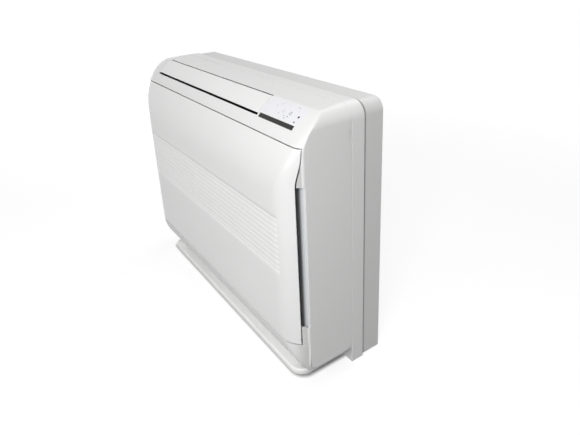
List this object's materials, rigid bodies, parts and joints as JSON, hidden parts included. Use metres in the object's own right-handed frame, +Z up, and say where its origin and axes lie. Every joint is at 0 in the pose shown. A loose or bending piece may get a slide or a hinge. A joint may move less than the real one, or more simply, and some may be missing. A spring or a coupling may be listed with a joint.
{
  "type": "floor console air conditioner",
  "caption": "White floor console air conditioner: ribbed front panel hinged at its foot, side intake slots, louver flap and control field on the sloping shoulder, rear shell for the wall.",
  "frame": {"origin": "on the floor under the middle of the unit", "axes": "+X to the unit's right as seen from the front, -Y to the front, +Z up"},
  "size_m": [0.75, 0.23, 0.59],
  "materials": {
    "cabinet_white": "satin",
    "panel_white": "satin gloss",
    "flap_white": "satin gloss",
    "control_white": "printed film",
    "window_dark": "smoked gloss",
    "lamp_lens": "clear lens",
    "rear_white": "matt",
    "base_white": "matt",
    "plate_steel": "galvanised",
    "steel": "ground",
    "rubber_black": "matt",
    "circuit_green": "lacquer",
    "motor_grey": "satin",
    "duct_black": "matt",
    "vane_black": "matt",
    "fan_grey": "matt",
    "fin_aluminium": "plain",
    "tube_copper": "copper",
    "nut_brass": "plain",
    "pan_white": "matt",
    "grille_white": "matt",
    "filter_net": "matt",
    "box_steel": "galvanised",
    "terminal_black": "matt",
    "capacitor_silver": "plain"
  },
  "bodies": {
    "unit": {"front_cabinet": "cabinet_white", "lower_cover": "cabinet_white", "panel_hinge_pins": "steel", "chassis_frame": "cabinet_white", "rear_shell": "rear_white", "base_plate": "base_white", "back_plate": "plate_steel", "pipe_grommet": "rubber_black", "cord_inlet_bush": "rubber_black", "control_panel": "control_white", "receiver_window": "window_dark", "indicator_lamp": "lamp_lens", "tact_switch": "terminal_black", "display_board": "circuit_green", "flap_motor": "motor_grey", "fan_casing": "duct_black", "stabiliser": "duct_black", "fan_bearing": "rubber_black", "bearing_holder": "duct_black", "fan_motor": "motor_grey", "motor_clamp": "plate_steel", "evaporator_fins": "fin_aluminium", "evaporator_end_left": "plate_steel", "evaporator_end_right": "plate_steel", "evaporator_hairpins": "tube_copper", "evaporator_return_bends": "tube_copper", "drain_pan": "pan_white", "drain_spigot": "pan_white", "intake_grille": "grille_white", "electrical_box": "box_steel", "electrical_lid": "box_steel", "control_board": "circuit_green", "terminal_block": "terminal_black", "capacitor": "capacitor_silver", "liquid_pipe": "tube_copper", "gas_pipe": "tube_copper", "flare_nuts": "nut_brass", "grille_screws": "steel", "casing_screws": "steel"},
    "panel": {"front_panel": "panel_white", "panel_catches": "panel_white"},
    "flap": {"louver_flap": "flap_white"},
    "fan": {"cross_flow_fan": "fan_grey", "fan_stub": "steel", "motor_shaft": "steel"},
    "filter_right_body": {"filter_right": "filter_net"},
    "filter_left_body": {"filter_left": "filter_net"},
    "button": {"temporary_switch": "control_white"},
    "tie_left": {"tie_bar_left": "vane_black"},
    "tie_right": {"tie_bar_right": "vane_black"},
    "deflector_1": {"vane_1": "vane_black"},
    "deflector_2": {"vane_2": "vane_black"},
    "deflector_3": {"vane_3": "vane_black"},
    "deflector_4": {"vane_4": "vane_black"},
    "deflector_5": {"vane_5": "vane_black"},
    "deflector_6": {"vane_6": "vane_black"},
    "deflector_7": {"vane_7": "vane_black"},
    "deflector_8": {"vane_8": "vane_black"},
    "deflector_9": {"vane_9": "vane_black"},
    "deflector_10": {"vane_10": "vane_black"}
  },
  "joints": [
    {"name": "panel_hinge", "type": "hinge", "parent": "unit", "child": "panel", "pos_m": [0, -0.106, 0.1142], "axis": [1, 0, 0], "range_deg": [0, 60]},
    {"name": "flap_hinge", "type": "hinge", "parent": "unit", "child": "flap", "pos_m": [0, -0.02856, 0.57854], "axis": [-1, 0, 0], "range_deg": [0, 55]},
    {"name": "fan_spin", "type": "hinge", "parent": "unit", "child": "fan", "pos_m": [0, -0.004, 0.468], "axis": [1, 0, 0], "continuous": true},
    {"name": "filter_right_lift", "type": "slide", "parent": "unit", "child": "filter_right_body", "axis": [0, 0, 1], "range_m": [0, 0.012]},
    {"name": "filter_left_lift", "type": "slide", "parent": "unit", "child": "filter_left_body", "axis": [0, 0, 1], "range_m": [0, 0.012]},
    {"name": "button_press", "type": "slide", "parent": "unit", "child": "button", "axis": [0, 0.6286, -0.7777], "range_m": [0, 0.0012], "stiffness_N_per_m": 400, "springref_m": -0.0005},
    {"name": "deflector_1_turn", "type": "hinge", "parent": "unit", "child": "deflector_1", "pos_m": [-0.30315, -0.01243, 0.54639], "axis": [0, 0.8748, 0.4845], "range_deg": [-25, 25]},
    {"name": "deflector_2_turn", "type": "hinge", "parent": "unit", "child": "deflector_2", "pos_m": [-0.24945, -0.01243, 0.54639], "axis": [0, 0.8748, 0.4845], "range_deg": [-25, 25]},
    {"name": "deflector_3_turn", "type": "hinge", "parent": "unit", "child": "deflector_3", "pos_m": [-0.19575, -0.01243, 0.54639], "axis": [0, 0.8748, 0.4845], "range_deg": [-25, 25]},
    {"name": "deflector_4_turn", "type": "hinge", "parent": "unit", "child": "deflector_4", "pos_m": [-0.14205, -0.01243, 0.54639], "axis": [0, 0.8748, 0.4845], "range_deg": [-25, 25]},
    {"name": "deflector_5_turn", "type": "hinge", "parent": "unit", "child": "deflector_5", "pos_m": [-0.08835, -0.01243, 0.54639], "axis": [0, 0.8748, 0.4845], "range_deg": [-25, 25]},
    {"name": "deflector_6_turn", "type": "hinge", "parent": "unit", "child": "deflector_6", "pos_m": [-0.03465, -0.01243, 0.54639], "axis": [0, 0.8748, 0.4845], "range_deg": [-25, 25]},
    {"name": "deflector_7_turn", "type": "hinge", "parent": "unit", "child": "deflector_7", "pos_m": [0.01905, -0.01243, 0.54639], "axis": [0, 0.8748, 0.4845], "range_deg": [-25, 25]},
    {"name": "deflector_8_turn", "type": "hinge", "parent": "unit", "child": "deflector_8", "pos_m": [0.07275, -0.01243, 0.54639], "axis": [0, 0.8748, 0.4845], "range_deg": [-25, 25]},
    {"name": "deflector_9_turn", "type": "hinge", "parent": "unit", "child": "deflector_9", "pos_m": [0.12645, -0.01243, 0.54639], "axis": [0, 0.8748, 0.4845], "range_deg": [-25, 25]},
    {"name": "deflector_10_turn", "type": "hinge", "parent": "unit", "child": "deflector_10", "pos_m": [0.18015, -0.01243, 0.54639], "axis": [0, 0.8748, 0.4845], "range_deg": [-25, 25]},
    {"name": "tie_left_slide", "type": "slide", "parent": "unit", "child": "tie_left", "axis": [1, 0, 0], "range_m": [-0.0039, 0.0039]},
    {"name": "tie_right_slide", "type": "slide", "parent": "unit", "child": "tie_right", "axis": [1, 0, 0], "range_m": [-0.0039, 0.0039]}
  ],
  "couplings": [
    {"joint": "deflector_1_turn", "follows": "tie_left_slide", "rad_per_m": -111.11},
    {"joint": "deflector_2_turn", "follows": "tie_left_slide", "rad_per_m": -111.11},
    {"joint": "deflector_3_turn", "follows": "tie_left_slide", "rad_per_m": -111.11},
    {"joint": "deflector_4_turn", "follows": "tie_left_slide", "rad_per_m": -111.11},
    {"joint": "deflector_5_turn", "follows": "tie_left_slide", "rad_per_m": -111.11},
    {"joint": "deflector_6_turn", "follows": "tie_right_slide", "rad_per_m": -111.11},
    {"joint": "deflector_7_turn", "follows": "tie_right_slide", "rad_per_m": -111.11},
    {"joint": "deflector_8_turn", "follows": "tie_right_slide", "rad_per_m": -111.11},
    {"joint": "deflector_9_turn", "follows": "tie_right_slide", "rad_per_m": -111.11},
    {"joint": "deflector_10_turn", "follows": "tie_right_slide", "rad_per_m": -111.11}
  ]
}
